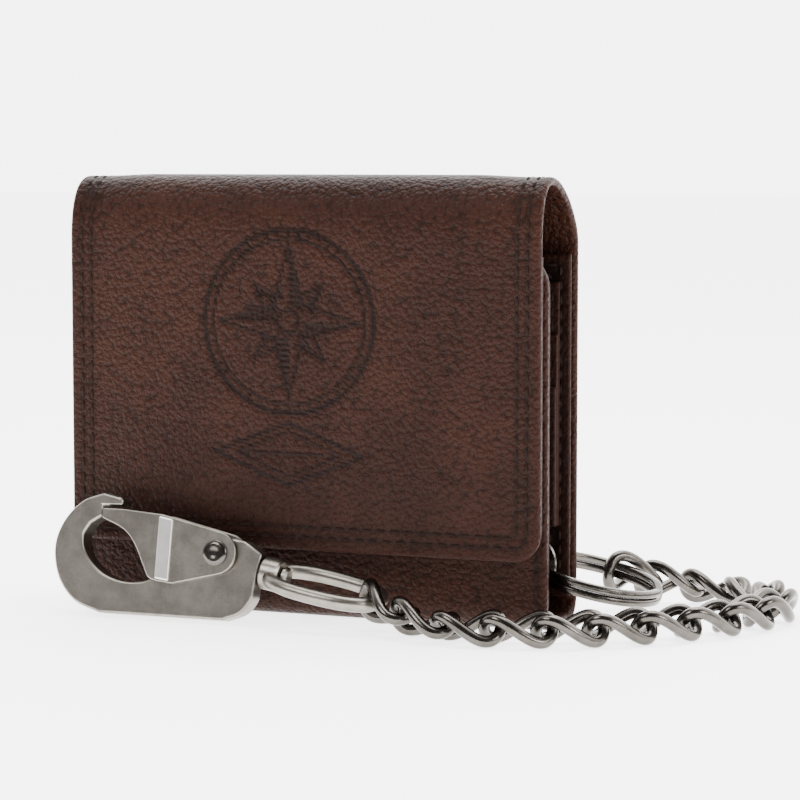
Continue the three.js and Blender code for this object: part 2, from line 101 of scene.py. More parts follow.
# ---- materials -----------------------------------------------------------------------------------
class Shader:
    """A small helper that adds nodes to a material and links them."""

    def __init__(self, name):
        self.material = bpy.data.materials.new(name)
        self.material.use_nodes = True
        self.tree = self.material.node_tree
        self.bsdf = self.tree.nodes["Principled BSDF"]
        place = self.add("ShaderNodeTexCoord").outputs["Object"]
        scaled = self.add("ShaderNodeVectorMath", operation="SCALE")
        scaled.inputs["Scale"].default_value = 1000
        self.link(place, scaled.inputs[0])
        self.place = scaled.outputs[0]

    def add(self, kind, **settings):
        node = self.tree.nodes.new(kind)
        for key, value in settings.items():
            setattr(node, key, value)
        return node

    def link(self, source, target):
        self.tree.links.new(source, target)

    def put(self, value, target):
        if isinstance(value, (int, float, tuple)):
            target.default_value = value
        else:
            self.link(value, target)

    def math(self, operation, a, b=0.0, clamp=False):
        node = self.add("ShaderNodeMath", operation=operation, use_clamp=clamp)
        self.put(a, node.inputs[0])
        self.put(b, node.inputs[1])
        return node.outputs[0]

    def noise(self, scale, detail=3.0, rough=0.55, vector=None):
        node = self.add("ShaderNodeTexNoise")
        node.inputs["Scale"].default_value = scale
        node.inputs["Detail"].default_value = detail
        node.inputs["Roughness"].default_value = rough
        self.link(vector or self.place, node.inputs["Vector"])
        return node.outputs["Fac"]

    def spread(self, value, low, high, to_low=0.0, to_high=1.0):
        node = self.add("ShaderNodeMapRange", interpolation_type="SMOOTHSTEP")
        self.put(value, node.inputs["Value"])
        for key, number in (("From Min", low), ("From Max", high), ("To Min", to_low), ("To Max", to_high)):
            node.inputs[key].default_value = number
        return node.outputs[0]

    def mix(self, factor, a, b, blend="MIX"):
        node = self.add("ShaderNodeMix", data_type="RGBA", blend_type=blend)
        self.put(factor, node.inputs[0])
        self.put(a, node.inputs[6])
        self.put(b, node.inputs[7])
        return node.outputs[2]

    def attribute(self, name):
        return self.add("ShaderNodeAttribute", attribute_name=name).outputs["Fac"]

    def bump(self, height, distance, normal=None, strength=1.0):
        node = self.add("ShaderNodeBump")
        node.inputs["Strength"].default_value = strength
        node.inputs["Distance"].default_value = distance
        self.link(height, node.inputs["Height"])
        if normal:
            self.link(normal, node.inputs["Normal"])
        return node.outputs[0]


def srgb(red, green, blue):
    def linear(c):
        c /= 255
        return c / 12.92 if c <= 0.04045 else ((c + 0.055) / 1.055) ** 2.4

    return (linear(red), linear(green), linear(blue), 1.0)


def leather(name, dark, mid, light, grain=1.0, roughness=0.4):
    """Pebbled leather: rounded grains with creases between them, in patches of uneven dye, with painted
    shade in the creases and along the stitch grooves.
    """
    s = Shader(name)
    warp = s.add("ShaderNodeTexNoise")
    warp.inputs["Scale"].default_value = 0.7
    s.link(s.place, warp.inputs["Vector"])
    shift = s.add("ShaderNodeVectorMath", operation="SCALE")
    s.link(warp.outputs["Color"], shift.inputs[0])
    shift.inputs["Scale"].default_value = 0.9
    moved = s.add("ShaderNodeVectorMath", operation="ADD")
    s.link(s.place, moved.inputs[0])
    s.link(shift.outputs[0], moved.inputs[1])
    cells = s.add("ShaderNodeTexVoronoi", feature="SMOOTH_F1")
    cells.inputs["Scale"].default_value = 0.95
    cells.inputs["Smoothness"].default_value = 0.2
    s.link(moved.outputs[0], cells.inputs["Vector"])
    small = s.add("ShaderNodeTexVoronoi", feature="SMOOTH_F1")
    small.inputs["Scale"].default_value = 2.3
    small.inputs["Smoothness"].default_value = 0.2
    s.link(moved.outputs[0], small.inputs["Vector"])
    pebble = s.math("ADD", s.math("MULTIPLY", cells.outputs["Distance"], -1.0),
                    s.math("MULTIPLY", small.outputs["Distance"], -0.35))
    crease_shade = s.spread(cells.outputs["Distance"], 0.5, 0.85)
    fine = s.noise(4.5, 4)
    patches = s.noise(0.045, 3)
    blotch = s.noise(0.35, 4)
    press_and_groove_shade = s.attribute("press_and_groove_shade")
    edge = s.attribute("edge")
    relief = s.math("MULTIPLY", pebble, s.math("SUBTRACT", 1.0, s.math("MULTIPLY", press_and_groove_shade, 0.75)))
    height = s.math("ADD", relief, s.math("MULTIPLY", fine, 0.16))
    s.link(s.bump(height, 0.00034 * grain), s.bsdf.inputs["Normal"])
    colour = s.mix(s.spread(patches, 0.35, 0.68), mid, light)
    colour = s.mix(s.spread(blotch, 0.3, 0.75, 0, 0.16), colour, dark)
    # Painted shade: the creases between the grains are darkened towards the dark colour.
    colour = s.mix(s.math("MULTIPLY", crease_shade, 0.6), colour, dark)
    # The stamped emblem is darkened here, and painted shade darkens the stitch grooves carried in the same
    # mark.
    colour = s.mix(s.math("MULTIPLY", press_and_groove_shade, 0.85), colour, dark)
    colour = s.mix(s.math("MULTIPLY", edge, 0.5), colour, srgb(40, 17, 10))
    s.link(colour, s.bsdf.inputs["Base Color"])
    rough = s.math("ADD", roughness - 0.1, s.math("MULTIPLY", blotch, 0.2))
    rough = s.math("SUBTRACT", rough, s.math("MULTIPLY", press_and_groove_shade, 0.06))
    s.link(rough, s.bsdf.inputs["Roughness"])
    s.bsdf.inputs["Specular IOR Level"].default_value = 0.07
    s.bsdf.inputs["Coat Weight"].default_value = 0.01
    s.bsdf.inputs["Coat Roughness"].default_value = 0.32
    return s.material


def thread(name, colour):
    s = Shader(name)
    twist = s.add("ShaderNodeTexWave")
    twist.inputs["Scale"].default_value = 1.6
    s.link(s.place, twist.inputs["Vector"])
    s.link(s.mix(twist.outputs["Fac"], colour, srgb(18, 9, 6)), s.bsdf.inputs["Base Color"])
    s.link(s.bump(twist.outputs["Fac"], 0.00006), s.bsdf.inputs["Normal"])
    s.bsdf.inputs["Roughness"].default_value = 0.6
    s.bsdf.inputs["Specular IOR Level"].default_value = 0.1
    return s.material


def metal(name, dark, light, roughness, speckle, scratches=0.00001):
    """Plated metal with fine speckle, soft staining and small scratches."""
    s = Shader(name)
    stain = s.noise(0.16, 5, 0.65)
    specks = s.noise(2.6, 6, 0.7)
    fine = s.noise(9.0, 3)
    colour = s.mix(s.spread(stain, 0.3, 0.7, 0.35, 0.95), dark, light)
    colour = s.mix(s.math("MULTIPLY", s.spread(specks, 0.52, 0.7), speckle), colour, dark)
    s.link(colour, s.bsdf.inputs["Base Color"])
    rough = s.math("ADD", roughness - 0.05, s.math("MULTIPLY", specks, 0.14))
    s.link(rough, s.bsdf.inputs["Roughness"])
    s.link(s.bump(s.math("ADD", specks, s.math("MULTIPLY", fine, 0.4)), scratches), s.bsdf.inputs["Normal"])
    s.bsdf.inputs["Metallic"].default_value = 1
    return s.material


def clear_plastic(name):
    s = Shader(name)
    s.bsdf.inputs["Base Color"].default_value = (0.85, 0.87, 0.85, 1)
    s.bsdf.inputs["Transmission Weight"].default_value = 0.9
    s.bsdf.inputs["IOR"].default_value = 1.45
    s.link(s.spread(s.noise(0.08, 2), 0.3, 0.7, 0.05, 0.16), s.bsdf.inputs["Roughness"])
    return s.material


OUTER = leather("outer_leather", srgb(13, 5, 3), srgb(36, 17, 11), srgb(44, 23, 15))
LINING = leather("lining_leather", srgb(8, 4, 3), srgb(20, 10, 7), srgb(26, 14, 9), 0.55, 0.5)
THREAD = thread("thread", srgb(34, 18, 12))
STEEL = metal("dark_steel", srgb(58, 54, 50), srgb(94, 90, 85), 0.2, 0.3)
NICKEL = metal("antique_nickel", srgb(98, 93, 86), srgb(150, 144, 136), 0.3, 0.5, 0.00002)
# Painted highlight: a near-white copy of the nickel that stands in for the bright light on the lever's bent
# ridge.
NICKEL_HIGHLIGHT = metal("nickel_painted_highlight", srgb(214, 209, 202), srgb(240, 237, 232), 0.3, 0.1)
CLEAR = clear_plastic("clear_window")


# ---- mesh helpers --------------------------------------------------------------------------------
def make(name, points, faces, material, attributes=None, smooth=True):
    """A mesh object from points in millimetres."""
    mesh = bpy.data.meshes.new(name)
    corners = [tuple(point) for point in np.asarray(points) * MM]
    mesh.from_pydata(corners, [], [tuple(int(i) for i in face) for face in faces])
    for key, values in (attributes or {}).items():
        mesh.attributes.new(key, "FLOAT", "POINT").data.foreach_set("value", np.asarray(values, np.float32))
    bm = bmesh.new()
    bm.from_mesh(mesh)
    bmesh.ops.remove_doubles(bm, verts=bm.verts, dist=2e-6)
    bmesh.ops.recalc_face_normals(bm, faces=bm.faces)
    for face in bm.faces:
        face.smooth = smooth
    bm.to_mesh(mesh)
    bm.free()
    mesh.materials.append(material)
    piece = bpy.data.objects.new(name, mesh)
    bpy.context.scene.collection.objects.link(piece)
    return piece


def smooth_by_angle(piece, degrees=35):
    mesh = piece.data
    bm = bmesh.new()
    bm.from_mesh(mesh)
    for edge in bm.edges:
        if len(edge.link_faces) == 2 and edge.calc_face_angle() > math.radians(degrees):
            edge.smooth = False
    bm.to_mesh(mesh)
    bm.free()
    return piece


def smoothstep(t):
    t = np.clip(t, 0, 1)
    return t * t * (3 - 2 * t)


class Profile:
    """A line in Y and Z with an outward side, walked by its length."""

    def __init__(self, points, side):
        points = np.array(points, float)
        steps = np.hypot(*np.diff(points, axis=0).T)
        self.s = np.concatenate([[0], np.cumsum(steps)])
        self.length = self.s[-1]
        self.points = points
        tangents = np.gradient(points, self.s, axis=0)
        tangents /= np.hypot(*tangents.T)[:, None]
        self.normals = side * np.column_stack([tangents[:, 1], -tangents[:, 0]])

    def at(self, s):
        place = [np.interp(s, self.s, self.points[:, k]) for k in (0, 1)]
        normal = [np.interp(s, self.s, self.normals[:, k]) for k in (0, 1)]
        size = np.hypot(*normal)
        return place[0], place[1], normal[0] / size, normal[1] / size


def lines(length, step, rim, start_free, end_free):
    """Grid lines along one direction, close together over a rounded rim."""
    turn = [rim * (1 - math.cos(math.pi / 2 * k / RIM_STEPS)) for k in range(RIM_STEPS + 1)]
    low = turn if start_free else [0]
    high = [length - t for t in turn][::-1] if end_free else [length]
    count = max(2, round((high[0] - low[-1]) / step))
    return np.array(low[:-1] + list(np.linspace(low[-1], high[0], count + 1)) + high[1:])


def round_corner(a, near, half, radius):
    """Draws the grid's square corner in to a round one. near is the distance from the corner's end."""
    u = (np.abs(a) - (half - radius)) / radius
    v = (radius - near) / radius
    inside = (u > 0) & (v > 0)
    scale = np.where(inside, np.maximum(u, v) / np.maximum(np.hypot(u, v), 1e-9), 1)
    new_a = np.where(inside, np.sign(a) * (half - radius + u * scale * radius), a)
    return new_a, np.where(inside, radius - v * scale * radius, near)


class Sheet:
    """A leather panel with turned, rounded edges, bent along a profile. Lengths are in millimetres."""

    def __init__(self, profile, half, thickness, free, radii, crown=0, rows=(), press_and_groove_shade=None):
        self.profile, self.half, self.thickness = profile, half, thickness
        self.free, self.radii = free, radii
        self.crown, self.rows, self.press_and_groove_shade = crown, rows, press_and_groove_shade

    def depth(self, a, s):
        """How far a point of the square grid is from the nearest free edge."""
        d = self.half - np.abs(a)
        if self.free[0]:
            d = np.minimum(d, s)
        if self.free[1]:
            d = np.minimum(d, self.profile.length - s)
        return d

    def lift(self, d):
        """How far the surface stands off the profile: a soft crown, and a groove under each row."""
        height = self.crown * smoothstep((d - INNER_ROW) / 12)
        for row in self.rows:
            height = height - GROOVE_DEPTH * np.exp(-(((d - row) / 0.55) ** 2))
        return height

    def place(self, a, s, offset):
        y, z, ny, nz = self.profile.at(s)
        return np.stack([a, y + ny * offset, z + nz * offset], axis=-1)

    def flat(self, a, s):
        """The true place on the panel of a point of the square grid."""
        length = self.profile.length
        if self.free[0] and self.radii[0]:
            a, s = round_corner(a, s, self.half, self.radii[0])
        if self.free[1] and self.radii[1]:
            a, near = round_corner(a, length - s, self.half, self.radii[1])
            s = length - near
        return a, s

    def build(self, name, material, step):
        rim = self.thickness / 2
        across = lines(2 * self.half, step, rim, True, True) - self.half
        along = lines(self.profile.length, step, rim, *self.free)
        a, s = [grid.ravel() for grid in np.meshgrid(across, along, indexing="ij")]
        d = self.depth(a, s)
        inside = np.clip(1 - d / rim, 0, 1)
        bulge = rim * np.sqrt(1 - inside**2)
        flat_a, flat_s = self.flat(a, s)
        press_and_groove_shade = self.press_and_groove_shade(flat_a, self.profile.at(flat_s)[1]) if self.press_and_groove_shade else np.zeros_like(a)
        top = bulge - rim + np.where(d > rim, self.lift(d), 0) - 0.3 * press_and_groove_shade
        # Painted shade: the leather along each stitch groove is darkened, added to the same mark as the
        # stamped emblem.
        for row in self.rows:
            press_and_groove_shade = np.maximum(press_and_groove_shade, 0.6 * np.exp(-(((d - row) / 0.6) ** 2)))
        points = np.concatenate([self.place(flat_a, flat_s, top), self.place(flat_a, flat_s, -rim - bulge)])
        count, rows = len(along), len(across)
        cells = np.meshgrid(np.arange(rows - 1), np.arange(count - 1), indexing="ij")
        first = cells[0].ravel() * count + cells[1].ravel()
        quads = np.column_stack([first, first + count, first + count + 1, first + 1])
        faces = np.concatenate([quads, quads[:, ::-1] + rows * count])
        edge = np.tile(smoothstep(1.6 - d / rim), 2)
        marks = {"edge": edge, "press_and_groove_shade": np.concatenate([press_and_groove_shade, press_and_groove_shade * 0])}
        return make(name, points, faces, material, marks)

    def row(self, distance):
        """The lines of one row of stitches, at a distance from the free edges: points (across, along)."""
        half, length = self.half - distance, self.profile.length
        start = distance if self.free[0] else 0
        end = length - distance if self.free[1] else length
        left, right = [(-half, start), (-half, end)], [(half, start), (half, end)]
        if self.free == (False, False):
            paths = [left, right]
        elif self.free[0] and self.free[1]:
            paths = [left + right[::-1] + left[:1]]
        elif self.free[1]:
            paths = [left + right[::-1]]
        else:
            paths = [left[::-1] + right]
        found = []
        for path in paths:
            dense = []
            for p, q in zip(path, path[1:]):
                steps = max(2, int(np.hypot(*(np.array(q) - p)) / ROW_STEP))
                dense.append(np.linspace(p, q, steps))
            a, s = np.concatenate(dense).T
            found.append(np.column_stack(self.flat(a, s)))
        return found


def stitches(name, sheet, rows):
    """Every stitch of the given rows as one mesh: short threads that dive into the leather at both ends."""
    points, faces = [], []
    ring = np.linspace(0, 2 * math.pi, 7)[:-1]
    shape = [(-1, -0.34, 0.7), (-0.72, -0.02, 1), (0, 0.12, 1.1), (0.72, -0.02, 1), (1, -0.34, 0.7)]
    for distance in rows:
        for path in sheet.row(distance):
            steps = np.concatenate([[0], np.cumsum(np.hypot(*np.diff(path, axis=0).T))])
            count = int(steps[-1] / STITCH_PITCH)
            for middle in (np.arange(count) + 0.5) * steps[-1] / count:
                base = len(points)
                spots = middle + np.array([t for t, _, _ in shape]) * STITCH_LENGTH / 2
                a = np.interp(spots, steps, path[:, 0])
                s = np.interp(spots, steps, path[:, 1])
                normal = sheet.place(a, s, 1.0) - sheet.place(a, s, 0.0)
                rise = sheet.lift(distance) + np.array([h for _, h, _ in shape])
                centres = sheet.place(a, s, rise)
                forward = centres[-1] - centres[0]
                forward /= np.linalg.norm(forward)
                for centre, up, (_, _, wide) in zip(centres, normal, shape):
                    side = np.cross(forward, up)
                    for angle in ring:
                        points.append(centre + STITCH_RADIUS * wide
                                      * (side * math.cos(angle) * 1.15 + up * math.sin(angle)))
                for k in range(len(shape) - 1):
                    for m in range(6):
                        n = (m + 1) % 6
                        low = base + k * 6
                        faces.append((low + m, low + n, low + 6 + n, low + 6 + m))
                faces.append(tuple(base + m for m in range(6)))
                faces.append(tuple(base + (len(shape) - 1) * 6 + m for m in range(6)))
    return make(name, points, faces, THREAD)


def sweep(name, centres, section, closed, material, up):
    """A section, given as points (side, up), carried along a line of centres without twisting."""
    centres = np.asarray(centres, float)
    count, sides = len(centres), len(section)
    if closed:
        tangents = np.roll(centres, -1, 0) - np.roll(centres, 1, 0)
    else:
        tangents = np.gradient(centres, axis=0)
    tangents /= np.linalg.norm(tangents, axis=1)[:, None]
    up = np.array(up)
    ups = []
    for tangent in tangents:
        up = up - tangent * (up @ tangent)
        up /= np.linalg.norm(up)
        ups.append(up)
    ups = np.array(ups)
    if closed:
        last = ups[-1] - tangents[0] * (ups[-1] @ tangents[0])
        last /= np.linalg.norm(last)
        turn = math.atan2(np.cross(last, ups[0]) @ tangents[0], last @ ups[0])
        for k in range(count):
            angle = turn * k / count
            side = np.cross(tangents[k], ups[k])
            ups[k] = ups[k] * math.cos(angle) + side * math.sin(angle)
    points = []
    for centre, tangent, up in zip(centres, tangents, ups):
        side = np.cross(tangent, up)
        points += [centre + side * x + up * y for x, y in section]
    faces = []
    for k in range(count if closed else count - 1):
        n = (k + 1) % count
        for m in range(sides):
            p = (m + 1) % sides
            faces.append((k * sides + m, k * sides + p, n * sides + p, n * sides + m))
    if not closed:
        faces += [tuple(range(sides)), tuple((count - 1) * sides + m for m in range(sides))]
    return make(name, points, faces, material)


def round_section(radius, sides=18):
    turns = np.linspace(0, 2 * math.pi, sides + 1)[:-1]
    return [(radius * math.cos(t), radius * math.sin(t)) for t in turns]


def lathe(name, profile, origin, axis, material, sides=48):
    """A turned piece: profile points (radius, height) about an axis from an origin."""
    axis = np.array(axis, float) / np.linalg.norm(axis)
    first = np.cross(axis, (0.3, 1, 0.2))
    first /= np.linalg.norm(first)
    second = np.cross(axis, first)
    points, faces = [], []
    for radius, height in profile:
        for t in np.linspace(0, 2 * math.pi, sides + 1)[:-1]:
            outward = first * math.cos(t) + second * math.sin(t)
            points.append(np.array(origin) + axis * height + radius * outward)
    for k in range(len(profile) - 1):
        for m in range(sides):
            n = (m + 1) % sides
            faces.append((k * sides + m, k * sides + n, (k + 1) * sides + n, (k + 1) * sides + m))
    if profile[0] != profile[-1]:
        faces += [tuple(range(sides)), tuple((len(profile) - 1) * sides + m for m in range(sides))]
    return smooth_by_angle(make(name, points, faces, material))


def spline(points, per=6, closed=False):
    """A Catmull-Rom line through points (x, y)."""
    p = [np.array(q, float) for q in points]
    ext = [p[-1]] + p + p[:2] if closed else [2 * p[0] - p[1]] + p + [2 * p[-1] - p[-2]]
    line = []
    for a, b, c, d in zip(ext, ext[1:], ext[2:], ext[3:]):
        for t in np.linspace(0, 1, per, endpoint=False):
            line.append(0.5 * (2 * b + (c - a) * t + (2 * a - 5 * b + 4 * c - d) * t * t
                               + (3 * b - a - 3 * c + d) * t ** 3))
    if not closed:
        line.append(p[-1])
    return [tuple(q) for q in line]


def prism(outline, y0, y1):
    """Points and faces of an outline (x, z) thickened from y0 to y1."""
    count = len(outline)
    points = [(x, y0, z) for x, z in outline] + [(x, y1, z) for x, z in outline]
    faces = [tuple(range(count)), tuple(range(2 * count - 1, count - 1, -1))]
    faces += [(k, (k + 1) % count, (k + 1) % count + count, k + count) for k in range(count)]
    return points, faces


def plates(name, prisms, matrix, material, bevel, segments=3):
    """Several prisms in one piece, put in place by a matrix, with rounded edges."""
    points, faces = [], []
    for outline, y0, y1 in prisms:
        p, f = prism(outline, y0, y1)
        faces += [tuple(i + len(points) for i in face) for face in f]
        points += p
    placed = np.array(points) @ np.array(matrix)[:3, :3].T + np.array(matrix)[:3, 3]
    piece = make(name, placed, faces, material)
    modifier = piece.modifiers.new("edges", "BEVEL")
    modifier.width = bevel * MM
    modifier.segments = segments
    modifier.limit_method = "ANGLE"
    modifier.angle_limit = math.radians(38)
    modifier.harden_normals = True
    return smooth_by_angle(piece, 38)


# ---- the wallet ----------------------------------------------------------------------------------
fold_low, fold_high = box_mm("top_fold")
flap_low, flap_high = box_mm("front_flap_cover")
base_low, base_high = box_mm("bottom_fold")
inner_low, inner_high = box_mm("inner_flap_cover")
HALF = flap_high[0]
FRONT, BACK = fold_low[1], fold_high[1]
FOLD_START, CREST = fold_low[2], fold_high[2]
COVER = flap_high[1] - flap_low[1]
INNER_FACE = inner_low[1]


def arch():
    t = np.linspace(0, 1, 161)
    y = BACK * (1 - t) ** 3 + 3 * BACK * (1 - t) ** 2 * t + 3 * FRONT * (1 - t) * t**2 + FRONT * t**3
    rise = 3 * (1 - t) ** 2 * t * FOLD_BACK_PULL + 3 * (1 - t) * t**2 * FOLD_FRONT_PULL
    points = np.column_stack([y, FOLD_START + rise * (CREST - FOLD_START) / rise.max()])
    return points, int(rise.argmax())


def bend(cy, cz, radius, start, end):
    return [(cy + radius * math.cos(math.radians(t)), cz + radius * math.sin(math.radians(t)))
            for t in np.linspace(start, end, 17)]


def emblem(x, z):
    """A compass rose over a plain lozenge, pressed as simple lines: how deep each point is, 0 to 1."""
    px, pz = x + 2, z - 63.5
    r = np.hypot(px, pz)
    turn = np.arctan2(px, pz)

    def line(distance, width):
        return smoothstep((width / 2 + 0.22 - np.abs(distance)) / 0.34)

    depth = np.maximum(line(r - 19.4, 1.0), line(r - 17.4, 0.5))
    for points, reach, wide in ((4, 16.2, 3.4), (4, 11.5, 3.0)):
        offset = 0 if reach > 12 else math.pi / 4
        sector = (turn + offset + math.pi / 4) % (math.pi / 2) - math.pi / 4
        along, aside = r * np.cos(sector), r * np.sin(sector)
        width = np.where(along < wide, along, wide * (reach - along) / (reach - wide))
        outline = line(np.abs(aside) - width, 0.5)
        hatch = 0.55 + 0.45 * (np.sin(along * 5.2) > 0)
        shade = smoothstep((width - np.abs(aside)) / 0.4) * (aside > 0) * hatch
        clear = (r > 3.4) * (along > 0) * (width > -0.4)
        if reach < 12:
            clear = clear * (np.abs(aside) < along) * (r > 5.2)
        depth = np.maximum(depth, np.maximum(outline, shade) * clear)
    depth = np.maximum(depth, line(r - 2.4, 0.6))
    tick_angle = math.radians(7.5)
    off_tick = (turn + tick_angle / 2) % tick_angle - tick_angle / 2
    ticks = line(off_tick * r, 0.3) * (np.abs(r - 18.4) < 0.7)
    depth = np.maximum(depth, ticks)
    lx, lz = x + 2, z - 35.5
    lozenge = np.abs(lx) / 17 + np.abs(lz) / 6.6
    depth = np.maximum(depth, line((lozenge - 1) * 6.2, 0.8))
    depth = np.maximum(depth, line((lozenge - 0.72) * 6.2, 0.4))
    bars = line(lz, 0.7) * smoothstep((8.5 - np.abs(lx)) / 0.5)
    bars = np.maximum(bars, line(np.hypot(np.abs(lx) - 10, lz), 1.3))
    return np.maximum(depth, bars)


def leather_body():
    points, crest = arch()
    down = [(FRONT, z) for z in np.linspace(FOLD_START, flap_low[2], 60)[1:]]
    front = Profile(np.vstack([points[crest:], down]), 1)
    under = [(BACK, z) for z in np.linspace(FOLD_START, BACK_RADIUS, 60)[1:]]
    under += bend(BACK - BACK_RADIUS, BACK_RADIUS, BACK_RADIUS, 0, -90)[1:]
    middle = (base_low[1] + base_high[1]) / 2
    under += [(y, 0) for y in np.linspace(BACK - BACK_RADIUS, middle, 8)[1:]]
    back = Profile(np.vstack([points[crest::-1], under]), -1)
    rise = [(y, 0) for y in np.linspace(middle, INNER_FACE + FRONT_RADIUS, 8)]
    rise += bend(INNER_FACE + FRONT_RADIUS, FRONT_RADIUS, FRONT_RADIUS, -90, -180)[1:]
    inner = Profile(rise + [(INNER_FACE, z) for z in np.linspace(FRONT_RADIUS, inner_high[2], 60)[1:]], -1)

    both = (OUTER_ROW, INNER_ROW)
    flap = Sheet(front, HALF, COVER, (False, True), (0, 6), CROWN, both, emblem)
    shell = Sheet(back, HALF, COVER, (False, False), (0, 0), CROWN * 0.6, both)
    tuck = Sheet(inner, HALF, COVER, (False, True), (0, 8), 0, (2.2,))

    top = (0, FRONT * MM, (FOLD_START + 4) * MM), (0, FRONT * MM, (FOLD_START - 4) * MM)
    rear = (0, BACK * MM, (FOLD_START - 4) * MM), (0, BACK * MM, (FOLD_START + 4) * MM)
    foot = (0, INNER_FACE * MM, 1.5 * MM), (0, INNER_FACE * MM, 7 * MM)
    for name, sheet, step, ends, span, replaced in (
        ("front_flap_leather", flap, SHEET_STEP, ("top_fold", "front_flap"), top,
         ["front_flap_cover", "top_fold"]),
        ("back_leather", shell, COVER_STEP, ("back_panel", "top_fold"), rear,
         ["back_cover", "bottom_fold"]),
        ("inner_flap_leather", tuck, COVER_STEP, ("back_panel", "inner_flap"), foot,
         ["inner_flap_cover"]),
    ):
        piece = sheet.build(name, OUTER, step)
        thread_piece = stitches(name.replace("leather", "stitches"), sheet, sheet.rows)
        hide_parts(*replaced)
        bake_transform(piece)
        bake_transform(thread_piece)


def flat_sheet(name, node, body, inside, half, z_span, radii, rows):
    """A flat lining in place of its solid. inside is +1 where its good side faces +Y."""
    low, high = box_mm(node)
    face = high[1] if inside > 0 else low[1]
    profile = Profile([(face, z) for z in np.linspace(z_span[1], z_span[0], 40)], -inside)
    sheet = Sheet(profile, half, high[1] - low[1], (True, True), radii[::-1], 0, rows)
    piece = sheet.build(name, LINING, PLAIN_STEP)
    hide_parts(node)
    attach(piece, body)
    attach(stitches(name + "_stitches", sheet, rows), body)


def linings():
    """Each line: piece, node, body, good side, half width (0 is the node's own), how much longer it is below
    and above its node, corner radii, rows of stitches."""
    edge = HALF - 0.4
    for name, node, body, inside, half, more, radii, rows in (
        ("front_flap_inside", "front_flap_lining", "front_flap", 1, edge, (1.1, 0), (6, 0), (2.4,)),
        ("inner_flap_inside", "inner_flap_lining", "inner_flap", 1, edge, (-0.3, 1.1), (0, 7.6), (2.2,)),
        ("back_inside", "back_lining", "back_panel", -1, edge, (0, 0), (0, 0), (2.2, 4.4)),
        ("pocket_1_leather", "card_pocket_1", "back_panel", -1, 0, (0, 0), (0, 0), (1.6,)),
        ("pocket_2_leather", "card_pocket_2", "back_panel", -1, 0, (0, 0), (0, 0), (1.6,)),
        ("pocket_3_leather", "card_pocket_3", "back_panel", -1, 0, (0, 0), (0, 0), (1.6,)),
        ("inner_pocket_leather", "inner_flap_pocket", "inner_flap", 1, 0, (0, 0), (0, 0), (1.6,)),
    ):
        low, high = box_mm(node)
        z_span = (low[2] - more[0], high[2] + more[1])
        flat_sheet(name, node, body, inside, half or high[0], z_span, radii, rows)
    for node, material in (("bill_divider", LINING), ("id_window_frame", LINING), ("id_window", CLEAR)):
        nodes[node].data.materials.clear()
        nodes[node].data.materials.append(material)


# ---- ring and chain ------------------------------------------------------------------------------
def joint_mm(name):
    joint = joints[name]
    return np.array(joint["pos_m"]) * 1000, np.array(joint["axis"], float)


def ring_and_eyelet():
    hub, _ = joint_mm("ring_swing")
    droop = math.radians(RING_DROOP)
    across = np.array((math.cos(droop), 0, -math.sin(droop)))
    normal = np.array((math.sin(droop), 0, math.cos(droop)))
    centre = hub + across * RING_RADIUS
    turns = np.linspace(RING_OVERLAP, 720, 300)
    crossing = smoothstep((turns - 360) / RING_OVERLAP) - 0.5
    t = np.radians(turns)
    path = (centre + RING_RADIUS * (np.cos(t)[:, None] * across + np.sin(t)[:, None] * np.array((0, 1, 0)))
            + RING_RISE * crossing[:, None] * normal)
    around = np.array(round_section(1, 20))
    section = RING_HALF_WIRE * np.sign(around) * np.abs(around) ** RING_SQUARENESS
    ring = sweep("key_ring", path, section, False, STEEL, normal)
    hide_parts("split_ring")
    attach(ring, "split_ring")

    low, high = box_mm("eyelet")
    x, z = hub[0], hub[2]
    inner, wall, flange = 4.0, 4.6, (high[0] - low[0]) / 2
    rim = high[1]
    foot = low[1] - rim
    profile = [(inner, foot), (inner, -0.9), (inner + 0.25, -0.3), (inner + 0.9, 0),
               (flange - 0.9, -0.1), (flange - 0.2, -0.45), (flange, -0.8), (wall, -0.8),
               (wall, foot), (inner, foot)]
    eyelet = lathe("eyelet_metal", profile, (x, rim, z), (0, 1, 0), STEEL)
    low, high = box_mm("eyelet_washer")
    flange = (high[0] - low[0]) / 2
    hole = 4.9
    profile = [(hole, 0), (hole, -0.6), (hole + 0.3, -0.8), (flange - 0.3, -0.7), (flange, -0.4),
               (flange, 0), (hole, 0)]
    washer = lathe("washer_metal", profile, (x, high[1], z), (0, 1, 0), STEEL)
    for piece, node in ((eyelet, "eyelet"), (washer, "eyelet_washer")):
        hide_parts(node)
        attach(piece, "back_panel")


def chain():
    """Each link is made once in its own frame and set where the solid's own three axes are."""
    t = np.linspace(0, 2 * math.pi, 57)[:-1]
    centres = np.column_stack([LINK_HALF_LENGTH * np.cos(t), LINK_HALF_WIDTH * np.sin(t),
                               LINK_TWIST * np.sin(2 * t)])
    for node in sorted(name for name in nodes if name.startswith("link_")):
        solid = np.array([v.co for v in nodes[node].data.vertices]) * 1000
        solid = np.unique(solid.round(4), axis=0)
        middle = solid.mean(0)
        axes = np.linalg.eigh(np.cov((solid - middle).T))[1][:, ::-1]
        if np.linalg.det(axes) < 0:
            axes[:, 2] = -axes[:, 2]
        placed = middle + centres @ axes.T
        link = sweep(node + "_metal", placed, round_section(WIRE / 2 * SLIM, 16), True, STEEL, axes[:, 2])
        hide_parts(node)
        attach(link, node)


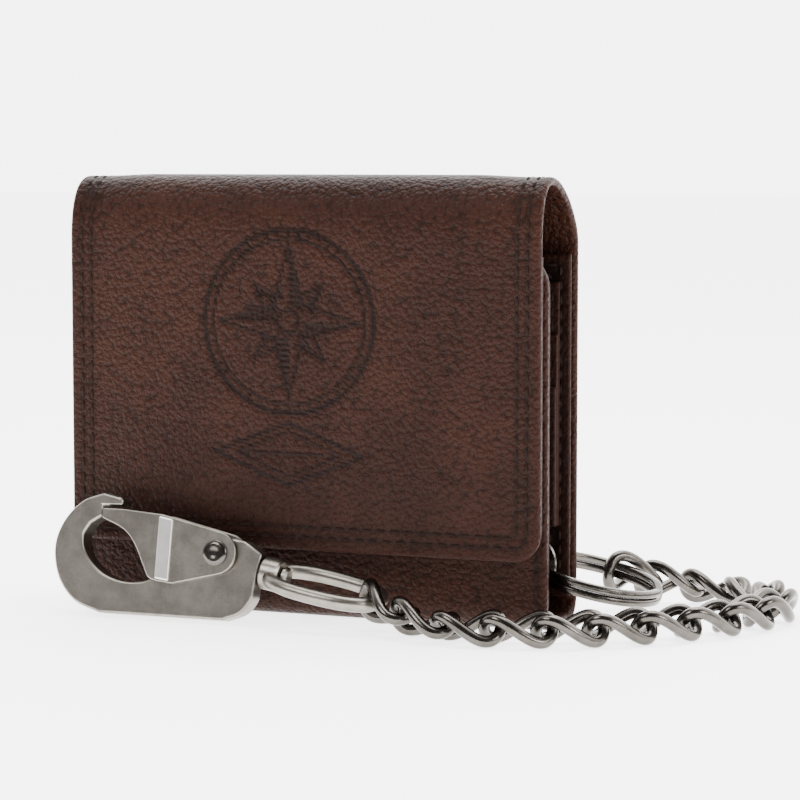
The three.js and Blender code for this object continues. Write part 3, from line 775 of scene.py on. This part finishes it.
# ---- clasp ---------------------------------------------------------------------------------------
def clasp_frames():
    start, along = joint_mm("hook_swivel")
    rivet, face = joint_mm("lever_open")
    slope = math.radians(SWIVEL_SLOPE)
    back = -face / np.linalg.norm(face)
    along = along / np.linalg.norm(along)
    lift = np.cross(along, back)
    hook = np.eye(4)
    hook[:3, 0] = math.cos(slope) * along + math.sin(slope) * lift
    hook[:3, 1] = back
    hook[:3, 2] = -math.sin(slope) * along + math.cos(slope) * lift
    hook[:3, 3] = rivet
    roll = math.radians(LOOP_ROLL)
    level, up = np.array((0, 1, 0)), np.cross(along, (0, 1, 0))
    swivel = np.eye(4)
    swivel[:3, 0] = along
    swivel[:3, 1] = math.cos(roll) * level + math.sin(roll) * up
    swivel[:3, 2] = -math.sin(roll) * level + math.cos(roll) * up
    swivel[:3, 3] = start
    return hook, swivel


def put(matrix, points):
    return np.asarray(points) @ matrix[:3, :3].T + matrix[:3, 3]


def clasp():
    hook, swivel = clasp_frames()
    outer = spline([(-27.6, 11.7), (-32.6, 9.6), (-36.6, 5.2), (-38.3, -0.5), (-36.8, -7),
                    (-32.6, -11.8), (-26.5, -14)])
    right = spline([(2, -14), (6, -12.4), (8.3, -9.5), (PIN_START - 0.7, -7)])
    inner = spline([(-9, 0.8), (-11, -3.2), (-15.5, -6.3), (-21, -7), (-26.5, -5.4),
                    (-30.6, -1.6), (-31.6, 2.2), (-30.2, 5)])
    outline = [(-23, 9), (-23, 10.7), *outer, *right, (PIN_START + 0.6, 0.4), (6, 3), (1, 3.6),
               (-6, 3.2), *inner, (-27.6, 6.6), (-27.6, 8.9)]
    body = plates("hook_casting", [(outline, -HOOK / 2, HOOK / 2)], hook, NICKEL, 0.55, 4)
    cheek = [(-26.9, 8.3), (-22, 8.3), (-12.9, 7.6), (0.9, 4.5)]
    cheek += [(4.6 * math.cos(t), 4.6 * math.sin(t)) for t in np.radians(np.linspace(75, -75, 13))]
    cheek += spline([(-9.5, -7), (-14.6, -6.2), (-16.4, -3.6), (-18.6, 0.6), (-21.6, 3.9), (-26.9, 6.2)])
    tip = [(-26.7, 8.1), (-22, 8.1), (-20.6, 8.0), (-20.6, 3.2), (-21.6, 4.1), (-26.7, 6.4)]
    band = [(-13.4, 7.2), (-10.2, 6.6), (-10.2, -6.5), (-13.4, -6.1)]
    out, slot = HOOK / 2 + 1.4, HOOK / 2 + 0.3
    sheets = [(cheek, -out, -slot), (cheek, slot, out), (tip, -slot, slot)]
    blade = plates("lever_sheet", sheets, hook, NICKEL, 0.28, 3)
    # The ridge band is drawn in the painted highlight nickel, for the light on the sheet's bend.
    ridge = plates("lever_ridge", [(band, -out - 0.5, -out + 0.2)], hook, NICKEL_HIGHLIGHT, 0.6, 4)
    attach(ridge, "lever")
    for piece, node, body_name in ((body, "hook_body", "hook"), (blade, "lever", "lever")):
        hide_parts(node)
        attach(piece, body_name)

    under, over = out + 0.3, out + 0.9
    head = [(0, over), (1.5, over), (2.3, over - 0.15), (2.7, under + 0.1), (2.7, under),
            (1.5, under), (1.5, -under), (2.7, -under), (2.7, -under - 0.1), (2.3, 0.15 - over),
            (1.5, -over), (0.9, -over + 0.25), (0, -over + 0.25)]
    rivet = lathe("rivet_metal", head, put(hook, [(0, 0, 0)])[0], hook[:3, 1], STEEL)
    pin = [(0, -5), (1.5, -5), (1.5, 5), (2.0, 5), (2.2, 5.2), (2.2, 5.8), (1.7, 6.3), (0, 6.5)]
    swivel_pin = lathe("pin_metal", pin, swivel[:3, 3], swivel[:3, 0], NICKEL)
    for piece, node, slot_name in (
        (rivet, "lever_rivet", "dark_steel"),
        (swivel_pin, "swivel_pin", "antique_nickel"),
    ):
        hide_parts(node)
        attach(piece, "hook")

    near, far, half = 2.5, 27.0, 6.6
    t = np.linspace(0, 2 * math.pi, 65)[:-1]
    x = (near + far) / 2 + (far - near) / 2 * np.sign(np.cos(t)) * np.abs(np.cos(t)) ** 0.85
    y = half * np.sign(np.sin(t)) * np.abs(np.sin(t)) ** 0.8
    line = np.array(spline(list(zip(x[::4], y[::4])), 5, True))
    centres = put(swivel, np.column_stack([line, np.zeros(len(line))]))
    section = round_section(LOOP_WIRE / 2 * SLIM, 20)
    loop = sweep("loop_metal", centres, section, True, NICKEL, swivel[:3, 2])
    boss = [(1.8, 0.3), (3.0, 0.3), (3.5, 0.8), (3.5, 4.2), (3.1, 4.7), (1.8, 4.7), (1.8, 0.3)]
    collar = lathe("loop_boss", boss, swivel[:3, 3], swivel[:3, 0], NICKEL)
    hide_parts("swivel_loop")
    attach(loop, "swivel_loop")
    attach(collar, "swivel_loop")
    nodes["lever_spring"].data.materials.clear()
    nodes["lever_spring"].data.materials.append(STEEL)


# ---- floor, light and camera ---------------------------------------------------------------------
def studio():
    mesh = bpy.data.meshes.new("floor")
    mesh.from_pydata([(-6, -6, 0), (6, -6, 0), (6, 6, 0), (-6, 6, 0)], [], [(0, 1, 2, 3)])
    floor = bpy.data.objects.new("floor", mesh)
    bpy.context.scene.collection.objects.link(floor)
    pale = bpy.data.materials.new("floor")
    pale.use_nodes = True
    pale.node_tree.nodes["Principled BSDF"].inputs["Base Color"].default_value = (0.8, 0.8, 0.8, 1)
    pale.node_tree.nodes["Principled BSDF"].inputs["Roughness"].default_value = 0.8
    pale.node_tree.nodes["Principled BSDF"].inputs["Specular IOR Level"].default_value = 0.1
    pale.node_tree.nodes["Principled BSDF"].inputs["Emission Color"].default_value = (1, 1, 1, 1)
    pale.node_tree.nodes["Principled BSDF"].inputs["Emission Strength"].default_value = 3.2
    mesh.materials.append(pale)

    world = bpy.data.worlds.new("studio")
    bpy.context.scene.world = world
    world.use_nodes = True
    tree = world.node_tree
    background = tree.nodes["Background"]
    place = tree.nodes.new("ShaderNodeTexCoord")
    apart = tree.nodes.new("ShaderNodeSeparateXYZ")
    ramp = tree.nodes.new("ShaderNodeMapRange")
    ramp.interpolation_type = "SMOOTHSTEP"
    ramp.inputs["From Min"].default_value = -0.45
    ramp.inputs["From Max"].default_value = 0.6
    ramp.inputs["To Min"].default_value = 0.12
    ramp.inputs["To Max"].default_value = 6.0
    tree.links.new(place.outputs["Generated"], apart.inputs[0])
    tree.links.new(apart.outputs["Y"], ramp.inputs["Value"])
    tree.links.new(ramp.outputs[0], background.inputs["Strength"])
    background.inputs["Color"].default_value = (1, 1, 1, 1)

    for name, place, size, power in (
        ("key", (-0.35, -0.75, 0.75), 0.4, 6),
        ("side", (0.75, -0.35, 0.35), 0.3, 4),
        ("top", (0.0, 0.15, 0.9), 0.6, 9),
    ):
        light = bpy.data.lights.new(name, "AREA")
        light.energy = power
        light.size = size
        lamp = bpy.data.objects.new(name, light)
        lamp.location = place
        lamp.rotation_mode = "QUATERNION"
        lamp.rotation_quaternion = (Vector(place) - Vector((0, 0, 0.04))).to_track_quat("Z", "Y")
        bpy.context.scene.collection.objects.link(lamp)


def camera():
    data = bpy.data.cameras.new("camera")
    data.lens, data.sensor_width = 126, 36
    view = bpy.data.objects.new("camera", data)
    azimuth, elevation, distance = math.radians(22), math.radians(5), 0.595
    back = Vector((math.sin(azimuth) * math.cos(elevation), -math.cos(azimuth) * math.cos(elevation),
                   math.sin(elevation)))
    view.location = Vector((0.0182, 0, 0.0466)) + back * distance
    view.rotation_mode = "QUATERNION"
    view.rotation_quaternion = back.to_track_quat("Z", "Y")
    data.clip_start, data.clip_end = 0.01, 50
    bpy.context.scene.collection.objects.link(view)
    bpy.context.scene.camera = view


camera()
leather_body()
linings()
ring_and_eyelet()
chain()
clasp()
studio()
